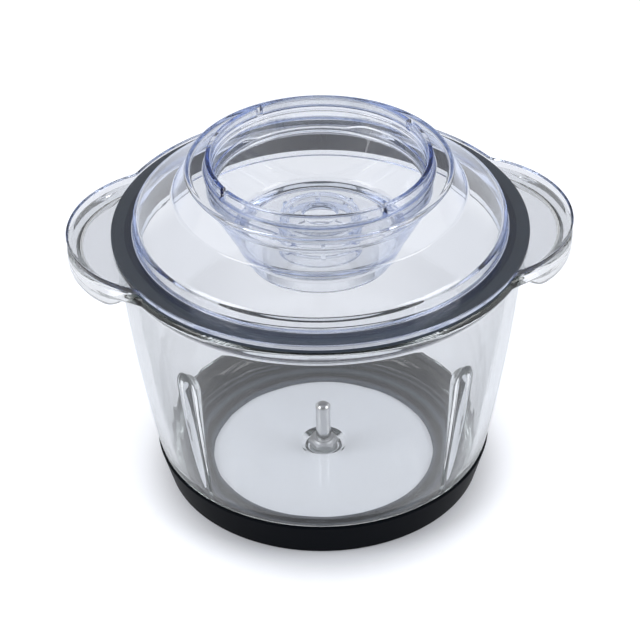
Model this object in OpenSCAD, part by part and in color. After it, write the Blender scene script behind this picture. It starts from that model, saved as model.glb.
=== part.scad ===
// Glass bowl of a mini chopper with its clear lid, seal ring, base ring and blade spindle.
// Z is up, the table is at Z = 0, X runs through the two ears and -Y faces the viewer.

/* [Base ring] */
// Height of the rubber base ring
ring_h = 15.3; // [11:0.1:20]
// How far the ring's top edge stands out from the glass wall above it
ring_over = 0.7; // [0.3:0.1:1.5]
// How much narrower the ring is on the table than at its top edge
ring_lean = 4.3; // [2:0.1:6]
// Wall thickness of the ring
ring_t = 2.5; // [1.8:0.1:3.2]
// Thickness of the lip that the bowl stands on
lip_t = 2; // [1.7:0.1:3]
// Radius of the opening in the middle of the ring
ring_hole_r = 45; // [35:0.5:50]

/* [Bowl] */
// Height of the rim above the table
rim_z = 109.5; // [98:0.5:125]
// Outer radius of the wall just under the rim bead
wall_top_r = 79.2; // [74:0.1:86]
// Outer radius of the wall just above the base ring
wall_low_r = 66.7; // [62:0.1:71]
// How far the rim bead stands out from the wall
bead_reach = 2.3; // [1.8:0.1:3.5]
// Height of the rim bead
bead_h = 6; // [4:0.1:9]
// Rounding of the bead's lower edge and of the rim's inner edge
rim_round = 1.5; // [0.8:0.1:2]
// Rounding of the rim's outer top edge
rim_edge = 3; // [1:0.1:3.2]
// How far the wall bows out from a straight cone
wall_bow = 1.4; // [0:0.1:2]
// Thickness of the glass wall
glass_t = 4.4; // [3.6:0.1:4.6]
// Thickness of the glass floor
floor_t = 5.8; // [5.4:0.1:8]
// Inner corner radius between floor and wall
floor_corner = 10; // [5:0.5:13]
// Outer corner radius under the floor
heel_r = 5; // [2:0.5:6]
// Radius of the shallow dish round the spindle
dish_r = 9.4; // [9:0.1:14]
// Depth of the dish
dish_depth = 1.4; // [0.8:0.1:1.6]
// Width of the dish's sloping border
dish_slope = 2.4; // [1.4:0.1:2.8]
// Radius of the hollow under the floor that holds the nut
punt_r = 6.4; // [6.2:0.1:12]
// Depth of that hollow
punt_depth = 2.4; // [2.2:0.1:2.6]

/* [Ribs] */
// Number of upright ribs pressed inside the front of the wall
flute_count = 2; // [1:1:4]
// Angle from one rib to the next
flute_spread = 90; // [40:1:90]
// Angle by which the ribs are turned away from the front
flute_turn = -2.2; // [-10:0.1:10]
// Height above the floor at which a rib ends in the wall
flute_low = 5.2; // [4:0.1:10]
// Height of the middle of its round head
flute_top_z = 76; // [60:0.5:86]
// Radius of the rib at its round head
flute_head_r = 4.6; // [3.5:0.1:5.5]
// How far the rib stands into the bowl at its head
flute_depth = 5; // [3:0.1:6]
// Radius of the rib at its foot, where it runs out in the wall
flute_foot_r = 3.6; // [3:0.1:4.2]

/* [Ears] */
// How far the tip of a lid ear stands out from the lid flange
ear_reach = 16.5; // [12:0.1:22]
// Plan radius of a lid ear
ear_r = 43.9; // [38:0.1:48]
// Radius of the hollow corner where an ear leaves the rim
ear_fillet = 6; // [3:0.5:10]
// How far the glass ear stays back from the lid ear
ear_inset = 0.1; // [0:0.1:2]
// Thickness of the glass ear
ear_t = 4.5; // [3:0.1:6]
// Width of the turned-down lip of the glass ear
ear_lip_w = 5; // [3.5:0.1:7]
// Drop of that lip below the ear
ear_lip_drop = 4.8; // [3:0.1:9]
// Rounding of the lower edges of the lip
ear_lip_round = 1.4; // [0.8:0.1:1.7]
// Distance of the ends of the lip from the rim bead
ear_lip_end = 5.6; // [2:0.1:7]
// How far those ends slant outwards over their drop
ear_lip_slant = 4; // [1:0.1:6]

/* [Spindle] */
// Radius of the blade pin
pin_r = 3; // [2.5:0.05:4]
// Height of the pin above its foot
pin_h = 17.3; // [10:0.1:30]
// Length of the rounded tip of the pin
pin_tip = 1.4; // [0.5:0.1:1.8]
// Width across the flats of the hexagon foot
foot_af = 10.8; // [9:0.1:13]
// Height of the hexagon foot
foot_h = 2.4; // [1.5:0.1:4]
// Radius of the threaded stud
stud_r = 2.5; // [2:0.05:3]
// Play of the stud in the glass
stud_gap = 0.6; // [0.3:0.05:0.9]
// Radius of the two silicone seals
seal_r = 5.2; // [4.6:0.1:5.8]
// Thickness of a seal
seal_t = 0.8; // [0.5:0.1:1]
// Radius of the steel washer
washer_r = 5.8; // [5:0.1:6]
// Thickness of the washer
washer_t = 0.8; // [0.5:0.1:0.9]
// Width across the flats of the nut
nut_af = 8; // [7:0.1:10]
// Height of the nut
nut_h = 2.4; // [2:0.1:2.6]

/* [Lid seal] */
// Thickness of the seal between rim and lid
gasket_t = 1.6; // [1:0.1:3]
// How far the seal stays back from the rim's outer edge
gasket_back = 0.3; // [0:0.1:1.5]
// Thickness of the seal sleeve round the lid skirt
sleeve_t = 1.5; // [0.8:0.1:1.7]
// Depth of the sleeve below the rim
sleeve_drop = 7; // [3:0.1:9]
// Gap between the sleeve and the lid skirt
sleeve_gap = 0.1; // [0.05:0.01:0.2]
// Room between the sleeve and the glass, measured at the foot of the skirt
sleeve_room = 0.46; // [0.3:0.01:1.5]

/* [Lid] */
// How far the lid flange stands past the rim
flange_over = 0.5; // [0.2:0.1:1.5]
// Thickness of the flange and of its ears
flange_t = 2.6; // [2:0.1:4]
// Wall thickness of the dome and the well
lid_t = 2.3; // [1.6:0.1:2.8]
// Depth of the skirt below the rim
skirt_drop = 9; // [6:0.1:10]
// Height of the upright foot of the dome above the flange
dome_foot = 5.5; // [4.5:0.1:8]
// Rounding between that foot and the slope
dome_round = 3; // [3:0.5:6]
// Height above the flange of the corner where the dome meets the tier
tier_low_h = 14.8; // [13:0.1:17]
// How much the tier narrows from that corner up to the shelf
tier_run = 5.6; // [4:0.1:8]
// Rounding in that corner
tier_round = 4; // [2:0.5:5]
// Width of the shelf round the collar
shelf_w = 7.6; // [6:0.1:9]
// Height of the shelf above the flange
shelf_h = 26.3; // [24:0.1:30]

/* [Collar and well] */
// Inner radius of the collar that takes the motor head
collar_r = 41.5; // [38:0.1:43]
// Height of the collar above the shelf
collar_h = 4.2; // [3:0.1:8]
// Depth of the straight part of the well below the collar's top
well_depth = 14.7; // [12:0.1:17]
// Inner radius at the foot of the tapered well
well_low_r = 26.5; // [24:0.1:30]
// Depth of that foot below the rim
well_drop = 9.5; // [5:0.1:14]
// Height of the well floor above the rim
web_h = 2.5; // [1:0.1:5]
// Number of notches in the collar's edge
notch_count = 4; // [2:1:8]
// Width of a notch
notch_w = 2.2; // [1.5:0.1:4]
// Depth of a notch
notch_depth = 3.8; // [2:0.1:6]
// Angle of the first notch from the ear axis
notch_angle = 30; // [15:1:75]

/* [Drive hub] */
// Outer radius of the hub in the well floor
hub_r = 15.7; // [13:0.1:18]
// Height of the hub above the well floor
hub_h = 6; // [4:0.1:10]
// Depth of the hub below the well floor
hub_drop = 7.5; // [4:0.1:9]
// Radius of the hole for the drive shaft
drive_r = 6.5; // [5:0.1:9]
// Number of small ribs round the hub
hub_rib_count = 8; // [4:1:12]
// Reach of a hub rib from the hub
hub_rib_reach = 3; // [2:0.1:5]
// Thickness of a hub rib
hub_rib_t = 1.6; // [1:0.1:2.5]

/* [Hidden] */
$fn = 128;
// Small rounding of a moulded edge
edge_round = 0.6;
// Room between the base ring and the glass that sits in it
seat_gap = 0.1;
// Small overlap where two solids of one moulding join
weld = 0.2;
// Play between the stud and the nut
thread_gap = 0.05;
// How deep the hollow corner of an ear cuts into rim and ear, so that it crosses them cleanly
bite = 0.1;
ring_top_r = wall_low_r + ring_over;
ring_low_r = ring_top_r - ring_lean;
rim_r = wall_top_r + bead_reach;
foot_z = lip_t;
floor_z = foot_z + floor_t;
step_z = ring_h + seat_gap;
bead_z = rim_z - bead_h;
punt_z = foot_z + punt_depth;
dish_z = floor_z - dish_depth;
flute_low_z = floor_z + flute_low;
hole_r = stud_r + stud_gap;
lid_z = rim_z + gasket_t;
flange_z = lid_z + flange_t;
shelf_z = flange_z + shelf_h;
collar_z = shelf_z + collar_h;
well_z = collar_z - well_depth;
web_z = rim_z + web_h;
hub_z = web_z + hub_h;
rim_in_r = wall_r(rim_z) - glass_t;
skirt_r = wall_r(rim_z - max(sleeve_drop, skirt_drop)) - glass_t - sleeve_room - sleeve_t - sleeve_gap;
gasket_r = rim_r - gasket_back;
flange_r = rim_r + flange_over;
ear_x = flange_r + ear_reach - ear_r;
glass_ear_r = ear_r - ear_inset;
shelf_r = collar_r + lid_t + shelf_w;
tier_low_r = shelf_r + tier_run;
slope = (collar_r - well_low_r) / (well_z - rim_z + well_drop);
pin_z = dish_z + seal_t + foot_h;

// Outer radius of the glass wall at height z: a cone with a slight bow.
function wall_share(z) = (z - step_z) / (bead_z - step_z);
function wall_r(z) = wall_low_r + (wall_top_r - wall_low_r) * wall_share(z)
    + 4 * wall_bow * wall_share(z) * (1 - wall_share(z));

// Outer radius of the base ring at height z.
function ring_r(z) = ring_low_r + (ring_top_r - ring_low_r) * z / ring_h;

// Inner radius of the well at height z, below its straight part.
function well_r(z) = collar_r - slope * (well_z - z);

// Outlines are lists of [radius, height, rounding]; each rounding becomes a tangent arc.
function unit(v) = v / norm(v);
function flat(p) = [p[0], p[1]];
function turn(a) = a > 180 ? a - 360 : a < -180 ? a + 360 : a;
function corner(p, q, s, r) =
    r <= 0 ? [q] :
    let (a = unit(p - q), b = unit(s - q), h = acos(a * b) / 2)
    let (c = q + unit(a + b) * r / sin(h), u = q + a * r / tan(h) - c, v = q + b * r / tan(h) - c)
    let (t0 = atan2(u[1], u[0]), dt = turn(atan2(v[1], v[0]) - t0), n = max(3, ceil(abs(dt) / 12)))
    [for (i = [0:n]) c + r * [cos(t0 + dt * i / n), sin(t0 + dt * i / n)]];
function rounded(o) =
    let (n = len(o))
    [for (i = [0:n - 1]) each corner(flat(o[(i + n - 1) % n]), flat(o[i]), flat(o[(i + 1) % n]), o[i][2])];

// A skin of even thickness: the path and the same path set off to its left.
function left(v) = [-v[1], v[0]];
function side(p, i) =
    let (last = len(p) - 1)
    let (a = unit(p[max(i, 1)] - p[max(i, 1) - 1]), b = unit(p[min(i, last - 1) + 1] - p[min(i, last - 1)]))
    let (n = unit(left(a) + left(b)))
    n / (n * left(a));
function skin(p, t) = concat(p, [for (i = [len(p) - 1:-1:0]) p[i] + t * side(p, i)]);
function open_path(o) =
    let (last = len(o) - 1)
    concat([flat(o[0])],
           [for (i = [1:last - 1]) each corner(flat(o[i - 1]), flat(o[i]), flat(o[i + 1]), o[i][2])],
           [flat(o[last])]);

module revolve(points) {
    rotate_extrude() polygon(points);
}

module both_ears() {
    children();
    mirror([1, 0, 0]) children();
}

// Plan of one ear that leaves a round rim of radius rim with a hollow corner on either side.
module ear_plan(rim, r) {
    reach = rim - bite + ear_fillet;
    ear_reach = r - bite + ear_fillet;
    fx = (ear_x * ear_x + reach * reach - ear_reach * ear_reach) / (2 * ear_x);
    fy = sqrt(reach * reach - fx * fx);
    f = [fx, fy];
    on_rim = f * (rim - bite) / reach;
    on_ear = [ear_x, 0] + (f - [ear_x, 0]) * (r - bite) / ear_reach;
    translate([ear_x, 0]) circle(r);
    for (s = [1, -1])
        scale([1, s])
            difference() {
                polygon([on_rim, f, on_ear, (on_rim + on_ear) / 2 - unit(f) * ear_fillet]);
                translate(f) circle(ear_fillet);
            }
}

// Glass shell: floor, seat for the base ring, bowed wall and rim bead.
module bowl_shell() {
    steps = 8;
    rise = (bead_z - step_z) / steps;
    in_low = floor_z + floor_corner * 1.3;
    in_rise = (rim_z - in_low) / steps;
    revolve(rounded(concat(
        [[hole_r, punt_z, 0],
         [punt_r, punt_z, edge_round],
         [punt_r + punt_depth, foot_z, edge_round],
         [ring_r(foot_z) - ring_t - seat_gap, foot_z, heel_r],
         [ring_r(ring_h) - ring_t - seat_gap, step_z, edge_round / 2]],
        [for (i = [0:steps]) [wall_r(step_z + i * rise), step_z + i * rise, i == 0 ? edge_round : 0]],
        [[rim_r, bead_z + bead_reach / 2, rim_round],
         [rim_r, rim_z, rim_edge],
         [rim_in_r, rim_z, rim_round]],
        [for (i = [steps - 1:-1:0]) [wall_r(in_low + i * in_rise) - glass_t, in_low + i * in_rise, 0]],
        [[wall_r(floor_z) - glass_t, floor_z, floor_corner],
         [dish_r, floor_z, edge_round / 2],
         [dish_r - dish_slope, dish_z, edge_round / 2],
         [hole_r, dish_z, 0]])));
}

// Ribs inside the bowl: tapered rods with a round head that lean with the wall.
// A cone inside the glass keeps them clear of the wall's outer face.
module ribs() {
    low_r = wall_r(flute_low_z) - glass_t + flute_foot_r + weld;
    top_r = wall_r(flute_top_z) - glass_t + flute_head_r - flute_depth;
    run = [top_r - low_r, flute_top_z - flute_low_z];
    keep_low = ring_r(floor_z) - ring_t - seat_gap - glass_t / 4;
    keep_top = wall_r(flute_top_z) - glass_t / 2;
    lean = (keep_top - keep_low) / (flute_top_z - floor_z);
    intersection() {
        translate([0, 0, foot_z])
            cylinder(
                h = rim_z - foot_z,
                r1 = keep_low - lean * floor_t,
                r2 = keep_low + lean * (rim_z - floor_z));
        for (i = [0:flute_count - 1])
            rotate([0, 0, (i - (flute_count - 1) / 2) * flute_spread + flute_turn - 90])
                translate([low_r, 0, flute_low_z])
                    rotate([0, atan2(run[0], run[1]), 0]) {
                        cylinder(h = norm(run), r1 = flute_foot_r, r2 = flute_head_r);
                        translate([0, 0, norm(run)]) sphere(flute_head_r);
                    }
    }
}

// Glass ear: a flat shelf at the rim with a rounded lip turned down along its border.
module glass_ear() {
    low = rim_z - ear_t;
    end_r = rim_r + ear_lip_end;
    flare = ear_lip_slant / ear_lip_drop;
    difference() {
        translate([0, 0, low])
            linear_extrude(ear_t) ear_plan(rim_r, glass_ear_r);
        translate([0, 0, low - 1])
            cylinder(h = ear_t + 2, r = rim_in_r + glass_t / 2);
    }
    difference() {
        translate([ear_x, 0, 0])
            revolve(rounded([
                [glass_ear_r - ear_lip_w, low + weld, 0],
                [glass_ear_r - ear_lip_w, low - ear_lip_drop, ear_lip_round],
                [glass_ear_r, low - ear_lip_drop, ear_lip_round],
                [glass_ear_r, low + weld, 0]]));
        translate([0, 0, low - ear_lip_drop - 1])
            cylinder(h = ear_lip_drop + 2, r1 = end_r + ear_lip_slant + flare, r2 = end_r - flare);
    }
}

module glass_bowl() {
    color([0.80, 0.88, 0.88])
        union() {
            bowl_shell();
            ribs();
            both_ears() glass_ear();
        }
}

// Rubber boot: slanted wall, lip under the bowl and a wide opening in the middle.
module base_ring() {
    color([0.08, 0.09, 0.11])
        revolve(rounded([
            [ring_hole_r, 0, edge_round],
            [ring_low_r, 0, edge_round],
            [ring_top_r, ring_h, edge_round],
            [ring_top_r - ring_t, ring_h, edge_round / 2],
            [ring_r(lip_t) - ring_t, lip_t, heel_r * 0.8],
            [ring_hole_r, lip_t, edge_round]]));
}

module hexagon(af) {
    circle(d = af / cos(30), $fn = 6);
}

// Steel spindle: round pin with a rounded tip, hexagon foot and threaded stud.
module spindle() {
    stud_low = punt_z - seal_t - washer_t - nut_h;
    color([0.72, 0.72, 0.74]) {
        translate([0, 0, dish_z + seal_t])
            linear_extrude(foot_h) hexagon(foot_af);
        revolve(rounded([
            [0, stud_low, 0],
            [stud_r, stud_low, edge_round / 2],
            [stud_r, pin_z - foot_h / 2, 0],
            [pin_r, pin_z - foot_h / 2, 0],
            [pin_r, pin_z + pin_h, pin_tip],
            [0, pin_z + pin_h, 0]]));
    }
}

module washer_ring(z, r, t, bore) {
    translate([0, 0, z])
        difference() {
            cylinder(h = t, r = r);
            translate([0, 0, -1]) cylinder(h = t + 2, r = bore);
        }
}

module spindle_upper_seal() {
    color([0.62, 0.64, 0.66])
        washer_ring(dish_z, seal_r, seal_t, hole_r);
}

module spindle_lower_seal() {
    color([0.62, 0.64, 0.66])
        washer_ring(punt_z - seal_t, seal_r, seal_t, hole_r);
}

module spindle_washer() {
    color([0.66, 0.67, 0.69])
        washer_ring(punt_z - seal_t - washer_t, washer_r, washer_t, hole_r);
}

module spindle_nut() {
    color([0.60, 0.61, 0.63])
        translate([0, 0, punt_z - seal_t - washer_t - nut_h])
            difference() {
                linear_extrude(nut_h) hexagon(nut_af);
                translate([0, 0, -1]) cylinder(h = nut_h + 2, r = stud_r + thread_gap);
            }
}

// Skirt, upright foot, sloping dome, tier and shelf as one skin of even thickness.
module lid_dome() {
    path = open_path([
        [skirt_r, rim_z - skirt_drop, 0],
        [skirt_r, flange_z + dome_foot, dome_round],
        [tier_low_r, flange_z + tier_low_h, tier_round],
        [shelf_r, shelf_z, edge_round],
        [collar_r + lid_t / 2, shelf_z, 0]]);
    revolve(skin(path, lid_t));
}

// Collar for the motor head and the tapered well below it.
module lid_well() {
    foot = rim_z - well_drop;
    path = open_path([
        [well_low_r, foot, 0],
        [collar_r, well_z, tier_round],
        [collar_r, collar_z, 0]]);
    difference() {
        revolve(skin(path, -lid_t));
        for (i = [0:notch_count - 1])
            rotate([0, 0, notch_angle + i * 360 / notch_count])
                translate([collar_r - 1, -notch_w / 2, collar_z - notch_depth])
                    cube([lid_t + 2, notch_w, notch_depth + 1]);
    }
}

// Well floor with a hollow hub, its drive hole and small ribs round it.
module lid_hub() {
    difference() {
        union() {
            translate([0, 0, web_z - lid_t])
                cylinder(h = lid_t, r = well_r(web_z - lid_t) + lid_t / 2);
            translate([0, 0, web_z - hub_drop])
                cylinder(h = hub_drop + hub_h, r = hub_r);
            for (i = [0:hub_rib_count - 1])
                rotate([0, 0, i * 360 / hub_rib_count])
                    translate([hub_r - weld, -hub_rib_t / 2, web_z - weld])
                        cube([hub_rib_reach + weld, hub_rib_t, hub_h / 2 + weld]);
        }
        translate([0, 0, web_z - hub_drop - 1])
            cylinder(h = hub_drop + hub_h - lid_t + 1, r = hub_r - lid_t);
        translate([0, 0, web_z])
            cylinder(h = hub_h + 1, r = drive_r);
    }
}

module lid_flange() {
    translate([0, 0, lid_z])
        linear_extrude(flange_t)
            difference() {
                union() {
                    circle(flange_r);
                    both_ears() ear_plan(flange_r, ear_r);
                }
                circle(skirt_r - lid_t / 2);
            }
}

module lid() {
    color([0.74, 0.79, 0.92]) {
        lid_dome();
        lid_well();
        lid_hub();
        lid_flange();
    }
}

// Silicone seal: a flat ring on the rim and a sleeve stretched round the lid skirt.
module lid_gasket() {
    in_r = skirt_r + sleeve_gap;
    low = rim_z - sleeve_drop;
    color([0.28, 0.31, 0.35])
        revolve(rounded([
            [in_r, low, edge_round / 2],
            [in_r + sleeve_t, low, edge_round],
            [in_r + sleeve_t, rim_z, 0],
            [gasket_r, rim_z, edge_round / 2],
            [gasket_r, lid_z, edge_round / 2],
            [in_r, lid_z, 0]]));
}

glass_bowl();
base_ring();
spindle();
spindle_upper_seal();
spindle_lower_seal();
spindle_washer();
spindle_nut();
lid();
lid_gasket();
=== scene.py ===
# %% [markdown]
# # A glass chopper bowl with a clear lid
#
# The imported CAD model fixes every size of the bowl, its base ring, the blade spindle, the lid and
# the seal. This lesson lays finer surfaces over it, because clear pieces show every facet: a ray
# bends at each face. So the glass and the lid are worked out as smooth grids with rounded edges.

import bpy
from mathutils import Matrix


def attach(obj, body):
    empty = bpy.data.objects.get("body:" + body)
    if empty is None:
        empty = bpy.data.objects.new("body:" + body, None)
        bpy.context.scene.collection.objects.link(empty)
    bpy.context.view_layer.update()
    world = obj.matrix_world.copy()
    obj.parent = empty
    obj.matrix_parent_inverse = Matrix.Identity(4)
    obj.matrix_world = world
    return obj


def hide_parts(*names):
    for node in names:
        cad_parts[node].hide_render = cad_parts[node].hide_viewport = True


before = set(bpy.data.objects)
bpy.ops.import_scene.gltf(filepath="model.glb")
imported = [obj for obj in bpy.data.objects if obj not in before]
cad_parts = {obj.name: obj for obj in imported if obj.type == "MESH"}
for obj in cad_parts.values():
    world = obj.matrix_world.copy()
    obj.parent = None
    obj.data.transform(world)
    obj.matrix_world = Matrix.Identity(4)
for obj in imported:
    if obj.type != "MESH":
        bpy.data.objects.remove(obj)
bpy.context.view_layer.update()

import bmesh
import bpy
import numpy as np
from mathutils import Matrix, Vector

scene = bpy.context.scene

# %% [markdown]
# ## The camera
#
# The photograph looks down at the bowl from the front with a long lens, and the picture leans a
# little to the left. The camera's place was found from the round edges of the seal, the base ring
# and the collar. It is aimed so that no lens shift is needed.

# %% Camera
distance, aim_height = 1.1089, 0.0579
tilt, lean, turn = np.radians([35.9, -0.863, -3.3])
focal_px, off_px = 2777.7, np.array([-1.96, 17.45])
sensor_mm, picture_px = 36, 641


def unit(v):
    """Vectors divided by their lengths."""
    return v / np.maximum(np.linalg.norm(v, axis=-1, keepdims=True), 1e-12)


sight = np.array([0, np.cos(tilt), -np.sin(tilt)])
level, up = np.array([1.0, 0, 0]), np.array([0, np.sin(tilt), np.cos(tilt)])
right = np.cos(lean) * level + np.sin(lean) * up
up = np.cos(lean) * up - np.sin(lean) * level
back = unit(-(focal_px * sight + off_px[0] * right + off_px[1] * up))
right = unit(right - (right @ back) * back)
axes = Matrix(np.column_stack([right, np.cross(back, right), back]).tolist()).to_4x4()
place = Matrix.Translation(Vector((0, 0, aim_height)) - distance * Vector(sight))

camera = bpy.data.objects.new("camera", bpy.data.cameras.new("camera"))
camera.data.lens = sensor_mm * focal_px / picture_px
camera.matrix_world = Matrix.Rotation(turn, 4, "Z") @ place @ axes
scene.collection.objects.link(camera)
scene.camera = camera
print("camera at", [round(x, 3) for x in camera.matrix_world.translation],
      "lens", round(camera.data.lens, 1))

# %% [markdown]
# ## Outlines
#
# Every piece here was turned, pressed or moulded round one upright axis. So a piece is an outline
# of radius and height that goes round the axis, and both can change with the angle where there
# are ears, ribs or notches. All the outlines run round their solid in the same sense, so the faces
# always point outwards. A bevel could round the edges afterwards, but here each corner names its
# own rounding, as on a drawing.

# %% Outline with rounded corners
short_side, near_end = 1.2, 0.35


def outline(corners, closed=True, step=6.0, arc=5):
    """Rows of radius and height, in millimetres, through corners of radius, height and rounding.

    A rounded corner becomes an arc that touches both sides: its middle lies on the bisector, at
    the rounding divided by the sine of half the angle. A straight side that isn't short gets a
    row near each end, to keep its shading flat, and further rows not more than step apart.
    """
    p = np.array(corners, float)
    q, r = p[:, :2], p[:, 2:]
    a, b = unit(np.roll(q, 1, 0) - q), unit(np.roll(q, -1, 0) - q)
    half = np.maximum(np.arccos(np.clip((a * b).sum(1, keepdims=True), -1, 1)) / 2, 1e-6)
    middle = q + unit(a + b) * r / np.sin(half)
    first, last = q + a * r / np.tan(half), q + b * r / np.tan(half)
    start = np.arctan2(*(first - middle).T[::-1])
    sweep = np.arctan2(*(last - middle).T[::-1]) - start
    sweep = (sweep + np.pi) % (2 * np.pi) - np.pi
    t = start[:, None] + sweep[:, None] * np.linspace(0, 1, arc)
    arcs = middle[:, None] + r[:, :, None] * np.stack([np.cos(t), np.sin(t)], -1)
    rows = []
    for i in range(len(p)):
        rows.append(arcs[i] if r[i, 0] > 0 else q[i:i + 1])
        if closed or i < len(p) - 1:
            side = first[(i + 1) % len(p)] - last[i]
            long = np.linalg.norm(side)
            if long > short_side:
                even = np.linspace(0, 1, int(np.ceil(long / step)) + 1)[1:-1]
                along = np.unique(np.r_[near_end / long, even, 1 - near_end / long])
                rows.append(last[i] + side * along[:, None])
    return np.concatenate(rows)


square = outline([[0, 0, 1], [9, 0, 1], [9, 9, 1], [0, 9, 1]])
print("a square with round corners has", len(square), "rows")

# %% [markdown]
# ## Turned surfaces
#
# A screw modifier turns an outline round an axis, but it can't grow an ear or cut a notch. A grid
# can: each point has a radius and a height of its own, and numpy works out the whole grid at once.
# The grid has more columns where the shape changes quickly round the axis.

# %% Angles and the turned mesh
MM = 0.001
closest_angle, weld = 2e-4, 1e-8


def angles(count, *spots):
    """Angles round the axis: count even ones, and finer ones at spots.

    A spot is its centres, the half width that it covers and its step, in degrees.
    """
    fine = [np.add.outer(np.radians(centres), np.radians(np.arange(-half, half + step / 2, step)))
            for centres, half, step in spots]
    every = [np.linspace(0, 2 * np.pi, count, endpoint=False)] + [spot.ravel() for spot in fine]
    every = np.sort(np.concatenate(every) % (2 * np.pi))
    return every[np.r_[True, np.diff(every) > closest_angle]]


def turned(name, radius, height, angle, poles=False):
    """One closed mesh from grids of radius and height, in millimetres, over outline row and angle.

    A point lies at radius times the cosine and sine of its angle, and at its height. The grid
    joins up with itself round the axis. Along the outline it joins up too, so it is a ring with
    no open edge, unless it has poles: then its first and last row lie on the axis, and each
    shrinks to one point.
    """
    radius, height = np.broadcast_arrays(radius + 0 * angle, height + 0 * angle)
    points = np.stack([radius * np.cos(angle), radius * np.sin(angle), height], -1)
    rows, columns = radius.shape
    at = np.arange(rows * columns).reshape(rows, columns)
    beside, above = np.roll(at, -1, 1), np.roll(at, -1, 0)
    faces = np.stack([at, beside, np.roll(above, -1, 1), above], -1)
    faces = faces[:rows - 1 if poles else rows].reshape(-1, 4)
    mesh = bpy.data.meshes.new(name)
    mesh.from_pydata(MM * points.reshape(-1, 3), [], faces)
    if poles:
        build = bmesh.new()
        build.from_mesh(mesh)
        bmesh.ops.remove_doubles(build, verts=build.verts, dist=weld)
        build.to_mesh(mesh)
        build.free()
    mesh.shade_smooth()
    piece = bpy.data.objects.new(name, mesh)
    scene.collection.objects.link(piece)
    print(name, rows, "x", columns, "points,", 2 * len(faces), "triangles")
    return piece


def dress(piece, body, node, finish):
    """Lets a piece ride on its body, stand for its CAD node and wear its finish."""
    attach(piece, body)
    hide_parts(node)
    piece.data.materials.clear()
    piece.data.materials.append(finish)


print("a finer spot of 3 degrees each way adds", len(angles(36, ([45], 3, 0.5))) - 36, "angles")

# %% [markdown]
# ## Shader arithmetic
#
# A finish mixes a few patterns. In the shader editor each sum and product would be a node to add
# and wire by hand. Written as arithmetic they are easy to read, so one small class wraps a socket,
# and its operators add the Math nodes.

# %% Shader arithmetic


class Tone:
    """A socket of a node tree. Arithmetic on it adds Math nodes, and node() adds any other node."""

    def __init__(self, tree, socket=None):
        self.tree, self.socket = tree, socket

    def node(self, kind, settings=None, inputs=None, out=0):
        made = self.tree.nodes.new(kind)
        for name, value in (settings or {}).items():
            setattr(made, name, value)
        for name, value in (inputs or {}).items():
            if isinstance(value, Tone):
                self.tree.links.new(value.socket, made.inputs[name])
            else:
                made.inputs[name].default_value = value
        return Tone(self.tree, made.outputs[out] if len(made.outputs) else None)

    def maths(self, operation, a, b):
        return self.node("ShaderNodeMath", {"operation": operation}, {0: a, 1: b})

    def __add__(self, other):
        return self.maths("ADD", self, other)

    def __sub__(self, other):
        return self.maths("SUBTRACT", self, other)

    def __rsub__(self, other):
        return self.maths("SUBTRACT", other, self)

    def __mul__(self, other):
        return self.maths("MULTIPLY", self, other)

    def __pow__(self, other):
        return self.maths("POWER", self, other)

    __radd__, __rmul__ = __add__, __mul__

    def mix(self, dark, light):
        """A colour between dark and light, by this value."""
        ends = {0: self, 6: (*dark, 1), 7: (*light, 1)}
        return self.node("ShaderNodeMix", {"data_type": "RGBA"}, ends, 2)

    def bump(self, strength, distance):
        """Normals of a surface that this value raises."""
        return self.node("ShaderNodeBump", inputs={
            "Strength": strength, "Distance": distance, "Height": self})


print("a tone can be added, subtracted, multiplied, raised, mixed and bumped")

# %% [markdown]
# ## Patterns on the pieces
#
# The patterns are worked out from a point's place on its piece, so no piece has to be unwrapped:
# noise for clouds, grain and rings, the distance from the upright axis, and the height.

# %% Materials and patterns


def new_finish(name):
    """An empty material, and a Tone to build its nodes with."""
    finish = bpy.data.materials.new(name)
    finish.use_nodes = True
    finish.node_tree.nodes.clear()
    return finish, Tone(finish.node_tree)


def speckle(tone, scale, detail, stretch=(1, 1, 1)):
    """Noise with scale spots to a metre, finer along an axis by its part of stretch."""
    where = tone.node("ShaderNodeTexCoord", out="Object")
    where = tone.node("ShaderNodeMapping", inputs={"Vector": where, "Scale": stretch})
    inputs = {"Vector": where, "Scale": scale, "Detail": detail}
    return tone.node("ShaderNodeTexNoise", inputs=inputs)


def from_axis(tone):
    """Distance of the shaded point from the upright axis."""
    where = tone.node("ShaderNodeTexCoord", out="Object")
    flat = tone.node("ShaderNodeVectorMath", {"operation": "MULTIPLY"}, {0: where, 1: (1, 1, 0)})
    return tone.node("ShaderNodeVectorMath", {"operation": "LENGTH"}, {0: flat}, 1)


def below(tone, height):
    """1 where the shaded point lies below a height, and 0 elsewhere."""
    where = tone.node("ShaderNodeTexCoord", out="Object")
    z = tone.node("ShaderNodeSeparateXYZ", inputs={0: where}, out=2)
    return tone.maths("LESS_THAN", z, height)


print("patterns:", [pattern.__name__ for pattern in (speckle, from_axis, below)])

# %% [markdown]
# ## Clear finishes
#
# The bowl is pressed glass: thick, a little grey and green, and gently rippled by the mould. The
# lid is a clear moulded plastic that turns blue along its edges. Each clear solid takes a little
# light at its faces and more inside, so thin walls stay clear and long paths along an edge are
# deep. Where the faces are seen at a slant a darker colour, bluish on the lid, is painted shade
# for the dim surroundings that edges mirror. The roughness varies a little, as on washed kitchen
# ware.
# Light from the lamps goes straight through, because bent lamp light needs far more samples.

# %% Clear finishes
film_scale, film_rough = 45.0, 0.02
slant_from, slant_to = 0.55, 0.92
lamp_tint = (0.90, 0.905, 0.915, 1)


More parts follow.
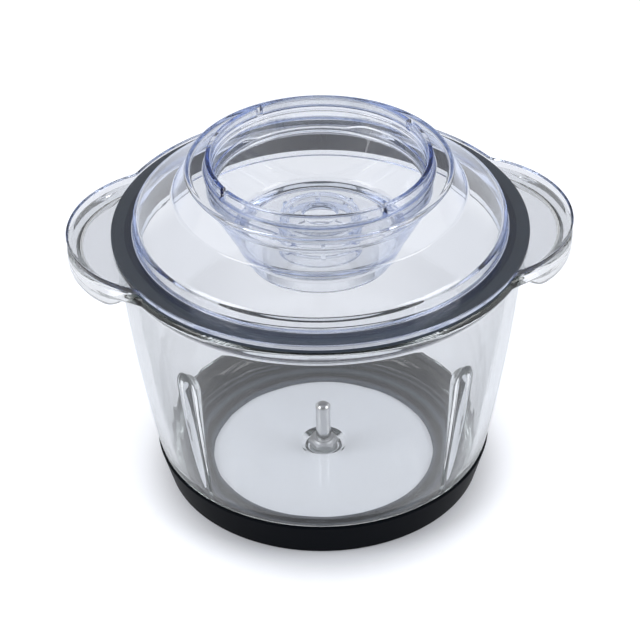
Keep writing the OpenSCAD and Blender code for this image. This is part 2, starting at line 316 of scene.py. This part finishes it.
def clear_finish(name, bend, skin, slant, inside, depth, ripple, ripple_scale):
    """A clear solid with waves of strength ripple, ripple_scale of them to a metre.

    bend is its refractive index, skin the colour that its faces let through, slant a darker colour
    that is painted shade where the faces are seen at a slant, inside the colour that its inside
    keeps, and depth how fast its inside absorbs, for each metre.
    """
    finish, tone = new_finish(name)
    film, waves = speckle(tone, film_scale, 3.0), speckle(tone, ripple_scale, 1.0)
    facing = tone.node("ShaderNodeLayerWeight", inputs={"Blend": 0.5}, out="Facing")
    # A darker colour where the faces are seen at a slant is painted shade.
    slant_shade_mask = tone.node("ShaderNodeMapRange", inputs={
        "Value": facing, "From Min": slant_from, "From Max": slant_to})
    surface = tone.node("ShaderNodeBsdfPrincipled", inputs={
        "Base Color": slant_shade_mask.mix(skin, slant), "Transmission Weight": 1.0, "IOR": bend,
        "Roughness": film_rough * film ** 3, "Normal": waves.bump(ripple, 0.001)})
    lamps = tone.node("ShaderNodeBsdfTransparent", inputs={"Color": lamp_tint})
    shadow = tone.node("ShaderNodeLightPath", out="Is Shadow Ray")
    both = tone.node("ShaderNodeMixShader", inputs={0: shadow, 1: surface, 2: lamps})
    volume = tone.node("ShaderNodeVolumeAbsorption", inputs={
        "Color": (*inside, 1), "Density": depth})
    tone.node("ShaderNodeOutputMaterial", inputs={"Surface": both, "Volume": volume})
    return finish


# Both slant colours are painted shade at the edges, bluish on the lid.
pressed_glass = clear_finish(
    "pressed_glass", bend=1.5, skin=(0.870, 0.874, 0.880), slant=(0.48, 0.50, 0.51),
    inside=(0.60, 0.71, 0.69), depth=6.0, ripple=0.05, ripple_scale=55.0)
clear_plastic = clear_finish(
    "clear_plastic", bend=1.56, skin=(0.992, 0.991, 0.988), slant=(0.45, 0.58, 0.88),
    inside=(0.30, 0.45, 0.78), depth=27.0, ripple=0.02, ripple_scale=40.0)
scene.cycles.max_bounces = 32
scene.cycles.glossy_bounces = scene.cycles.transmission_bounces = 24
print("clear finishes:", pressed_glass.name, clear_plastic.name)

# %% [markdown]
# ## Rubber and silicone
#
# The base ring is black rubber with a fine moulded grain. Paler rings on its ledge under the glass
# floor are painted light. The seal is dark grey silicone with a soft sheen. On its sleeve, which is
# tucked away inside, and on the inner edge of its flat ring the dark colour alone is painted shade.
# One function makes them all, because they differ only in a few measures.

# %% Rubber and silicone
ring_scale, cloud_scale = 300.0, 70.0


def soft_finish(name, dark, light, rough, shine, grain, grain_scale, painted_light_rings=None, painted_shade_within=None):
    """A soft material: cloudy colour between dark and light, a fine moulded grain and some shine.

    painted_light_rings gives a radius and a height. Within and below them rings round the axis take
    the colour from dark to light as painted light, and elsewhere it is the dark one alone.
    painted_shade_within gives a radius, inside which the dark colour alone is painted shade.
    """
    finish, tone = new_finish(name)
    clouds_and_painted_light, fine = speckle(tone, cloud_scale, 3.0), speckle(tone, grain_scale, 2.0)
    if painted_shade_within:
        # Pale clouds outside that radius; inside it the dark colour alone is painted shade.
        clouds_and_painted_light = (0.56 + 0.44 * clouds_and_painted_light) * tone.maths("GREATER_THAN", from_axis(tone), painted_shade_within)
    if painted_light_rings:
        # Noise along the radius makes rings of painted light on the ledge.
        out = from_axis(tone)
        rings = tone.node("ShaderNodeTexNoise", {"noise_dimensions": "1D"},
                          {"W": out, "Scale": ring_scale, "Detail": 2.0})
        ledge = below(tone, painted_light_rings[1]) * tone.maths("LESS_THAN", out, painted_light_rings[0])
        clouds_and_painted_light = ledge * (4.0 * rings - 1.6)
    surface = tone.node("ShaderNodeBsdfPrincipled", inputs={
        "Base Color": clouds_and_painted_light.mix(dark, light), "Roughness": rough + 0.14 * clouds_and_painted_light + 0.06 * fine,
        "Specular IOR Level": shine, "Normal": fine.bump(grain, 0.0002)})
    tone.node("ShaderNodeOutputMaterial", inputs={"Surface": surface})
    return finish


# The paler rings on the ledge under the glass floor are painted light.
base_rubber = soft_finish(
    "base_rubber", (0.003, 0.004, 0.006), (0.095, 0.115, 0.145),
    rough=0.40, shine=0.02, grain=0.03, grain_scale=1500.0, painted_light_rings=(0.0605, 0.0035))
# Inside 76 mm from the axis the seal's dark colour alone is painted shade.
seal_silicone = soft_finish(
    "seal_silicone", (0.003, 0.009, 0.026), (0.040, 0.051, 0.065),
    rough=0.45, shine=0.20, grain=0.20, grain_scale=1800.0, painted_shade_within=0.0760)
washer_silicone = soft_finish(
    "washer_silicone", (0.42, 0.45, 0.46), (0.54, 0.57, 0.58),
    rough=0.42, shine=0.50, grain=0.15, grain_scale=1600.0)
print("soft finishes:", [m.name for m in (base_rubber, seal_silicone, washer_silicone)])

# %% [markdown]
# ## Steel
#
# The spindle is turned steel, so its roughness runs in fine rings round the axis. The noise is
# pressed flat along the axis for that. The spindle's foot is duller than its pin.

# %% Steel
ring_squeeze = (0.05, 0.05, 1.6)


def steel_finish(name, dark, light, rough, dull_below=-1.0):
    """Turned steel: rings of brighter and duller metal along the axis, matt below a height."""
    finish, tone = new_finish(name)
    dull = below(tone, dull_below)
    rings, stain = speckle(tone, 900.0, 2.0, ring_squeeze), speckle(tone, 220.0, 3.0)
    surface = tone.node("ShaderNodeBsdfPrincipled", inputs={
        "Base Color": (stain - 0.9 * dull).mix(dark, light), "Metallic": 1.0,
        "Roughness": rough + 0.16 * rings + 0.3 * dull, "Normal": rings.bump(0.12, 0.0001)})
    tone.node("ShaderNodeOutputMaterial", inputs={"Surface": surface})
    return finish


pin_steel = steel_finish(
    "pin_steel", (0.52, 0.53, 0.55), (0.72, 0.715, 0.71), 0.10, dull_below=0.0098)
plain_steel = steel_finish("plain_steel", (0.42, 0.42, 0.42), (0.56, 0.56, 0.57), 0.26)
print("steel finishes:", pin_steel.name, plain_steel.name)

# %% [markdown]
# ## Forms of the glass bowl
#
# The bowl is one pressing: a floor with a small dish in its middle, a bowed wall, a rim bead, two
# ears with a turned-down lip, and two upright ribs inside the front of the wall. By hand the ears
# would be drawn out of the rim. Here formulas say how far each form reaches at an angle and a
# height, so the glass stays one even grid.

# %% Wall and ears
rim_z, rim_r, glass_t = 109.5, 81.5, 4.4
foot_z, foot_r, wall_high, flare, bow = 15.4, 66.7, 88.1, 12.5, 5.6
ear_x, ear_r, lip_inner = 54.6, 43.8, 38.8


def smooth(t):
    """A ramp from 0 to 1 with level ends: three t squared minus two t cubed."""
    t = np.clip(t, 0, 1)
    return t * t * (3 - 2 * t)


def wall_r(z):
    """Outer radius of the glass at height z: a straight cone plus a bow, widest half-way up."""
    s = (z - foot_z) / wall_high
    return foot_r + flare * s + bow * s * (1 - s)


def from_ear(angle):
    """Angle away from the nearer of the two ears, whose middles lie on the x axis."""
    return np.abs((angle + np.pi / 2) % np.pi - np.pi / 2)


def on_ear(a, radius):
    """How far out a ray at angle a from an ear's middle leaves a circle round the ear's centre."""
    return ear_x * np.cos(a) + np.sqrt(np.maximum(radius ** 2 - (ear_x * np.sin(a)) ** 2, 0))


def ear_edge(angle, rim, ear, hollow=6.0):
    """Radius of a round rim with two round ears, each joined to the rim by a hollow corner.

    A ray from the axis leaves through the ear's circle near the ear's middle, through the circle
    of the hollow corner a little further round, and through the rim everywhere else.
    """
    a = from_ear(angle)
    fx = (ear_x ** 2 + (rim + hollow) ** 2 - (ear + hollow) ** 2) / (2 * ear_x)
    fy = np.sqrt((rim + hollow) ** 2 - fx ** 2)
    meet = ear_x + (fx - ear_x) * ear / (ear + hollow), fy * ear / (ear + hollow)
    along = fx * np.cos(a) + fy * np.sin(a)
    corner = along - np.sqrt(np.maximum(hollow ** 2 - fx ** 2 - fy ** 2 + along ** 2, 0))
    beyond = np.where(a < np.arctan2(fy, fx), corner, rim)
    return np.where(a < np.arctan2(meet[1], meet[0]), on_ear(a, ear), beyond)


ear_tip = ear_edge(np.zeros(1), rim_r, ear_r)[0]
print("ear tip at", round(float(ear_tip), 1), "mm from the axis")

# %% Ribs
rib_low, rib_top, rib_at = 13.0, 76.0, (222.8, 312.8)
rib_head = 4.6


def rib_face(angle, z):
    """Radius of the inner side of the ribs, each a rod that leans along the wall up to its head.

    The rod's axis lies behind the wall's inner face at the foot, so that the rib runs out there,
    and in front of it at the head. Beside the axis the rod comes forward by the root of its radius
    squared less the distance squared, and the round head is twice as long as it is wide.
    """
    t = np.clip((z - rib_low) / (rib_top - rib_low), 0, 1)
    rod, behind = 3.6 + t, 3.8 - 4.2 * t
    away = np.min([np.abs(np.degrees(angle) - at) for at in rib_at], 0)
    aside = wall_r(z) * np.radians(away)
    past = np.maximum(z - rib_top + rib_head, 0) / 2
    left = rod ** 2 - aside ** 2 - past ** 2
    forward = np.where(left > 0, np.sqrt(np.maximum(left, 0)), left / (2 * rod))
    return wall_r(z) - glass_t + behind - forward


def lesser(a, b, blend=0.25):
    """The smaller of two values, with a small hollow where they cross."""
    return 0.5 * (a + b - np.sqrt((a - b) ** 2 + blend ** 2))


rib_out = wall_r(70) - glass_t - rib_face(np.radians(rib_at[0]), 70)
print("near its head a rib stands", round(float(rib_out), 1), "mm out of the wall")

# %% [markdown]
# ## The glass bowl
#
# The outline starts in the spindle's hole, runs out under the floor, up the outside, over the rim
# and down the inside. Only the stretch round the rim changes much with the angle, where it grows
# out to an ear. A height is one column of rows, which meets the row of angles.

# %% Under the floor and up the outside
hole_r, floor_low, floor_top = 3.1, 2, 7.8
hollow_low, hollow_top, hollow_out = 102.2, 104.6, 0.7


def column(start, stop, count):
    """Even values as a column."""
    return np.linspace(start, stop, count)[:, None]


round_bowl = angles(130, ([22, 158, 202, 338], 3, 0.75), ([29, 151, 209, 331], 5, 0.72),
                    (rib_at, 6, 0.36))
under = outline([[hole_r, 5.4, 0], [hole_r, 4.44, 0.2], [6.4, 4.44, 0.9], [8.84, floor_low, 1.2],
                 [61.06, floor_low, 5], [64.8, foot_z, 0.3], [foot_r, foot_z, 0.6],
                 [wall_r(17.5), 17.5, 0]], closed=False, step=9)
rows_z = np.concatenate([column(22, 67, 24), column(68, 82, 28), column(83.5, 100, 7)])
wall_z = np.concatenate([[[19], [20.5]], rows_z])
bead_z = np.concatenate([[[101.2]], column(hollow_low, hollow_top, 9)])
hollow = np.maximum((bead_z - hollow_low) / (hollow_top - hollow_low), 0)
bead_r = wall_r(bead_z) + hollow_out * hollow ** 2
print("rows from the hole to the rim:", len(under) + len(wall_z) + len(bead_z))

# %% Rim and ears
rim_under, ear_lift, lip_down, lip_least = 104.7, 0.3, 4.8, 79.9
rim_round, ear_sharper = 3.1, 0.6
lean_in, root_in, lean_low, lean_high = 0.9, 1.6, 105.4, 1.5

edge = ear_edge(round_bowl, rim_r, ear_r)
out = edge - rim_r
# The lower edge lies further in than the upper one along the rim, and most where an ear begins.
root = smooth(out / 2) * (1 - smooth((out - 6) / 6))
low_edge = edge - lean_in * (1 - smooth(out / 5)) - root_in * root
# Under an ear a lip hangs down between its inner side and that edge.
lip_in = np.clip(on_ear(from_ear(round_bowl), lip_inner), lip_least, low_edge - 0.04)
lip_drop = lip_down * smooth((out - 5.0) / 4.6)
# An ear is a little thinner than the rim, and its upper edge is less round.
plate = rim_under + ear_lift * smooth(out / 4)
brim = rim_round - ear_sharper * smooth(out / 5)

t = column(0, 1, 7)[1:]
plate_r = bead_r[-1] + t * (lip_in - bead_r[-1])
plate_z = bead_z[-1] + t * (plate - bead_z[-1])
t = column(0, np.pi, 25)[1:]
bulge = np.sign(np.cos(t)) * np.abs(np.cos(t)) ** 0.7
lip_r = lip_in + (low_edge - lip_in) * (0.5 - 0.5 * bulge)
lip_z = plate + 0.5 * t / np.pi - lip_drop * np.sin(t) ** 0.7
rise_z = lean_low + column(0, 1, 6) * (rim_z - brim - lean_low - 0.2)
rise_r = edge - (edge - low_edge) * np.clip((lean_low + lean_high - rise_z) / lean_high, 0, 1)
t = column(0, np.pi / 2, 15)
brim_r, brim_z = edge - brim + brim * np.cos(t), rim_z - brim + brim * np.sin(t)
print("an ear reaches", round(float(out.max()), 1), "mm past the rim, and its lip hangs",
      round(float(lip_drop.max()), 1), "mm down")

# %% Mouth, inside and floor
mouth_r, mouth_round = wall_r(rim_z) - glass_t, 1.5
t = np.array([0.04, 0.12, 0.3, 0.5, 0.7, 0.88, 0.96])[:, None]
top_r = (edge - brim) * (1 - t) + (mouth_r + mouth_round) * t
t = column(np.pi / 2, np.pi, 6)
inner_r = mouth_r + mouth_round + mouth_round * np.cos(t)
inner_z = rim_z - mouth_round + mouth_round * np.sin(t)

down_z = np.concatenate([rows_z, [[102], [104], [105.6], [107.2]]])[::-1]
inside_r = lesser(wall_r(down_z) - glass_t, rib_face(round_bowl, down_z))
floor = outline([[wall_r(20.5) - glass_t, 20.5, 0], [wall_r(floor_top) - glass_t, floor_top, 10],
                 [9.4, floor_top, 0.7], [7, 6.36, 0.9], [hole_r, 6.36, 0.2], [hole_r, 5.6, 0]],
                closed=False, step=9, arc=17)
floor_r, floor_z = floor[:, :1], floor[:, 1:]
floor_r = np.where(floor_z > 8, lesser(floor_r, rib_face(round_bowl, floor_z)), floor_r)

stretches = [(under[:, :1], under[:, 1:]), (wall_r(wall_z), wall_z), (bead_r, bead_z),
             (plate_r, plate_z), (lip_r, lip_z), (rise_r, rise_z), (brim_r, brim_z),
             (top_r, rim_z), (inner_r, inner_z), (inside_r, down_z), (floor_r, floor_z)]
ones = np.ones_like(round_bowl)
bowl_r = np.concatenate([r * ones for r, z in stretches])
bowl_z = np.concatenate([(z + 0 * r) * ones for r, z in stretches])
bowl = turned("bowl_glass", bowl_r, bowl_z, round_bowl)
dress(bowl, "bowl", "glass_bowl", pressed_glass)

# %% [markdown]
# ## The lid
#
# The lid is one clear moulding. A single outline goes all round it: up the skirt, out along the
# flange, over the dome, tier and shelf, over the collar, down the well, over the hub in the well's
# floor, and back up under it all. So the clear solid has no wall inside it, and light bends only
# where the real lid has a face.

# %% Outline of the lid
skirt = [[70.2, 100.5, 0.5], [72.5, 100.5, 0.5], [72.5, 111.1, 0.3]]
flange = [[81.4, 111.1, 0.4], [82, 113.1, 0.3], [82, 113.7, 0.3], [72.5, 113.7, 1.0]]
dome = [[72.5, 119.2, 3], [57, 128.5, 1.5], [51.4, 140, 1.2]]
collar = [[43.8, 140, 0.9], [43.8, 144.2, 0.6], [41.5, 144.2, 0.6], [41.5, 139.4, 0.2]]
well = [[41.2, 139, 0.2], [41.2, 131.6, 0.15], [40.8, 131.1, 0.15], [40.8, 129, 3],
        [32.6, 112, 2.5]]
hub = [[15.7, 112, 0.4], [15.7, 115, 0.1], [15.6, 115.2, 0.1], [15.6, 118, 1.5], [6.5, 118, 0.8],
       [6.5, 115.7, 0.3], [13.4, 115.7, 0.8], [13.4, 104.5, 0.4], [15.7, 104.5, 0.4],
       [15.7, 109.7, 0.6]]
well_outside = [[31.4, 109.7, 2.5], [26.5, 100, 0.5], [28.55, 98.96, 0.5], [32, 106, 0.3],
                [34.3, 111.2, 0.3], [43.8, 128.95, 4], [43.8, 137.7, 0.8]]
underside = [[49.96, 137.7, 1], [55.23, 126.88, 1.5], [70.2, 117.9, 0.8]]
section = outline(skirt + flange + dome + collar + well + hub + well_outside + underside, step=8)
lid_r, lid_z = section[:, :1], section[:, 1:]
print("the lid's outline has", len(section), "rows, and its top is at", round(lid_z.max(), 1), "mm")

# %% [markdown]
# ## Ears, notches and ribs of the lid
#
# Four forms change the lid with the angle: the ears on its flange, four notches in the collar,
# eight small ribs round the hub, and a ledge in the well that rises and falls. Each is a small
# shift of the outline's rows, so no solid has to be cut.

# %% Lid
round_lid = angles(150, ([29, 151, 209, 331], 6, 1.0), ([30, 120, 210, 300], 1.6, 0.2),
                   (np.arange(0, 360, 45), 3.0, 0.75))
flange_r, lid_ear_r = 82.0, 43.9
collar_low, collar_high, notch_deep = 140.05, 4.15, 3.8
rib_long, ledge_z, ramp_high = 3, 131.35, 2.4


def within(angle, centre, pitch, half):
    """1 within half of centre or of its repeats at every pitch, in degrees, and 0 elsewhere."""
    away = (np.degrees(angle) - centre + pitch / 2) % pitch - pitch / 2
    return (np.abs(away) < half) * 1.0


# Ears: the rows of the flange move out, the outer ones most.
on_flange = (lid_z > 110.9) & (lid_z < 113.9) & (lid_r > 73)
ears = ear_edge(round_lid, flange_r, lid_ear_r) - flange_r
reach = np.where(on_flange, smooth((lid_r - 74) / 6.8), 0) * ears
# Notches: the rows of the collar sink, the upper ones most.
notch = np.maximum(lid_z - collar_low, 0) * notch_deep / collar_high
notch = notch * within(round_lid, 30, 90, 1.45)
# Ribs: the rows of the hub's foot move out.
on_web = (lid_z > 111.9) & (lid_z < 115.12) & (lid_r < 25) & (lid_r > 15.65)
rib = np.where(on_web, rib_long * (1 - smooth((lid_r - 16.2) / 7)), 0)
rib = rib * within(round_lid, 0, 45, 2.6)
# Ledge: it lies low on a stretch in front and one behind, and rises on both sides of each.
ramp_at = (np.degrees(round_lid) % 180) - 90
ramp = ramp_high * (smooth((ramp_at - 31) / 12) + smooth((-ramp_at - 15) / 16))
on_ledge = (lid_r > 40) & (lid_r < 42)
ledge_fade = np.abs(lid_z - ledge_z) / np.where(lid_z > ledge_z, 6.5, 2.4)
ledge = on_ledge * np.maximum(0, 1 - ledge_fade)
lid = turned("lid_clear", lid_r + reach + rib, lid_z - notch + ledge * ramp, round_lid)
dress(lid, "lid", "lid", clear_plastic)

# %% [markdown]
# ## Seal and base ring
#
# These are plain turned pieces with small rounded edges, so one outline each is enough. The seal
# has a flat ring on the bowl's rim and a sleeve inside it. The base ring is a boot with a ledge
# under the glass floor.

# %% Seal and base ring
round_plain = angles(220)
seal = outline([[72.6, 102.5, 0.3], [74.1, 102.5, 0.6], [74.1, 109.56, 0.3], [81.2, 109.56, 0.4],
                [81.2, 111.04, 0.4], [72.6, 111.04, 0.3]], step=3)
gasket = turned("seal_ring", seal[:, :1], seal[:, 1:], round_plain)
dress(gasket, "lid", "lid_gasket", seal_silicone)

boot = outline([[45, 0, 0.6], [63.1, 0, 0.8], [67.4, 15.3, 0.7], [64.9, 15.3, 0.4],
                [61.16, 1.94, 4], [45, 1.94, 0.6]], step=3)
ring = turned("base_boot", boot[:, :1], boot[:, 1:], round_plain)
dress(ring, "bowl", "base_ring", base_rubber)

# %% [markdown]
# ## Spindle
#
# The blade sits on a steel pin that is clamped through the floor. Its foot is a hexagon, so its
# radius swings between the flats and the corners, with the corners turned off at the top by a cone
# as on a bar of hexagon steel. What clamps it under the floor is hidden, so those pieces stay as
# they are in the CAD model and only get a finish.

# %% Spindle
hexagon, foot_low, foot_top, foot_top_r = 5.4, 7.2, 9.6, 4.1
round_pin = angles(96, (np.arange(0, 360, 60), 3, 0.5))
shaft = outline([[0, 0.4, 0], [2.5, 0.4, 0.3], [2.5, foot_low, 0], [4.6, foot_low, 0],
                 [5.1, foot_low, 0.2], [5.1, 8.3, 0], [foot_top_r, foot_top, 0.2],
                 [3.15, foot_top, 0.1], [3, 9.9, 0.1], [3, 25.6, 1], [1.9, 26.7, 0.8],
                 [0, 26.9, 0]], closed=False, step=0.15)
shaft_r, shaft_z = shaft[:, :1], shaft[:, 1:]
flat = hexagon / np.cos(round_pin % (np.pi / 3) - np.pi / 6)
cone = foot_top_r + (foot_top - shaft_z) * 1.6
on_foot = (shaft_z > 7.1) & (shaft_z <= 9.5) & (shaft_r >= 4.7)
pin_r = np.where(on_foot, np.minimum(flat, cone), shaft_r)
pin = turned("spindle_pin", pin_r, shaft_z, round_pin, poles=True)
dress(pin, "bowl", "spindle", pin_steel)

hidden = {"spindle_upper_seal": washer_silicone, "spindle_lower_seal": washer_silicone,
          "spindle_washer": plain_steel, "spindle_nut": plain_steel}
for node, finish in hidden.items():
    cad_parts[node].data.materials.clear()
    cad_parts[node].data.materials.append(finish)
print("finished as they are in the CAD model:", list(hidden))

# %% [markdown]
# ## Floor
#
# The photograph has a white ground with a faint soft shadow. The floor is a pale matt sheet. Rays
# from the camera, and rays that were mirrored or bent, also find a little light of its own in it,
# so it is white there, and the lamps can stay at a plain level. For the camera that light fades
# out towards the foot of the bowl, which leaves the narrow dark seam of shadow that the photograph
# has there.

# %% Floor
floor_half, shade_from, shade_to = 6.0, 0.0545, 0.0845
oval_scale, oval_shift = (1.06, 1, 1), (0, 0.0075, 0)
foot_glow, open_glow, bounced_glow = 0.02, 0.46, 0.32
floor_finish, tone = new_finish("studio_floor")
direct, mirrored, bent = (tone.node("ShaderNodeLightPath", out=f"Is {kind} Ray")
                          for kind in ("Camera", "Glossy", "Transmission"))
spot = tone.node("ShaderNodeTexCoord", out="Object")
oval = tone.node("ShaderNodeVectorMath", {"operation": "MULTIPLY_ADD"},
                 {0: spot, 1: oval_scale, 2: oval_shift})
away = tone.node("ShaderNodeVectorMath", {"operation": "LENGTH"}, {0: oval}, 1)
spread = tone.node("ShaderNodeMapRange", {"interpolation_type": "SMOOTHSTEP"},
                   {"Value": away, "From Min": shade_from, "From Max": shade_to})
bounced = tone.maths("MINIMUM", mirrored + bent, 1.0)
seen = (foot_glow + open_glow * spread) * direct + bounced_glow * bounced
paper = tone.node("ShaderNodeBsdfDiffuse", inputs={"Color": (0.835, 0.860, 0.915, 1)})
glow = tone.node("ShaderNodeEmission", inputs={"Color": (0.96, 0.96, 0.99, 1), "Strength": seen})
both = tone.node("ShaderNodeAddShader", inputs={0: paper, 1: glow})
tone.node("ShaderNodeOutputMaterial", inputs={"Surface": both})

corners = [(x * floor_half, y * floor_half, 0) for x, y in ((-1, -1), (1, -1), (1, 1), (-1, 1))]
sheet = bpy.data.meshes.new("studio_floor")
sheet.from_pydata(corners, [], [(0, 1, 2, 3)])
sheet.materials.append(floor_finish)
ground = bpy.data.objects.new("studio_floor", sheet)
scene.collection.objects.link(ground)
print("the floor is", 2 * floor_half, "metres wide")

# %% [markdown]
# ## Sky
#
# A clear piece shows what stands round it, so the sky matters more than the lamps. It is a white
# wall with a dim ceiling, so that the clear pieces get dark lines beside light ones, and the middle
# of the ceiling is brighter again. A picture of a studio could stand there, but ramps along the
# upward part of a ray's direction are enough.

# %% Sky
ceiling_dim, middle_bright = 0.72, 0.45
sky = bpy.data.worlds.new("studio")
scene.world = sky
sky.use_nodes = True
sky.node_tree.nodes.clear()
tone = Tone(sky.node_tree)
way = tone.node("ShaderNodeTexCoord", out="Generated")
steep = tone.node("ShaderNodeSeparateXYZ", inputs={0: way}, out=2)


def rise_between(low, high):
    """A smooth ramp from 0 to 1 while the upward part of a direction goes from low to high."""
    return tone.node("ShaderNodeMapRange", {"interpolation_type": "SMOOTHSTEP"},
                     {"Value": steep, "From Min": low, "From Max": high})


ceiling, middle = rise_between(0.28, 0.48), rise_between(0.8, 0.95)
strength = 1.0 - ceiling_dim * ceiling + middle_bright * middle
light = tone.node("ShaderNodeBackground", inputs={"Color": (1, 1, 1, 1), "Strength": strength})
tone.node("ShaderNodeOutputWorld", inputs={"Surface": light})
print("the wall is white, the ceiling is dim, and its middle is bright")

# %% [markdown]
# ## Lamps
#
# Two weak softboxes, one on each side and a little in front, add a soft shine and deepen the faint
# shadow. Area lamps were chosen because their shadows have soft edges. The camera doesn't see them.

# %% Lamps


def softbox(name, place, aim, size, watts):
    """A square lamp at a place, turned towards a point."""
    lamp = bpy.data.lights.new(name, "AREA")
    lamp.size, lamp.energy = size, watts
    box = bpy.data.objects.new(name, lamp)
    box.location = place
    box.rotation_euler = (Vector(aim) - Vector(place)).to_track_quat("-Z", "Y").to_euler()
    box.visible_camera = False
    scene.collection.objects.link(box)


for name, x in (("softbox_left", -1.0), ("softbox_right", 1.0)):
    softbox(name, (x, -0.35, 0.95), aim=(0, 0, 0.06), size=0.7, watts=6)
scene.view_settings.view_transform = "Standard"
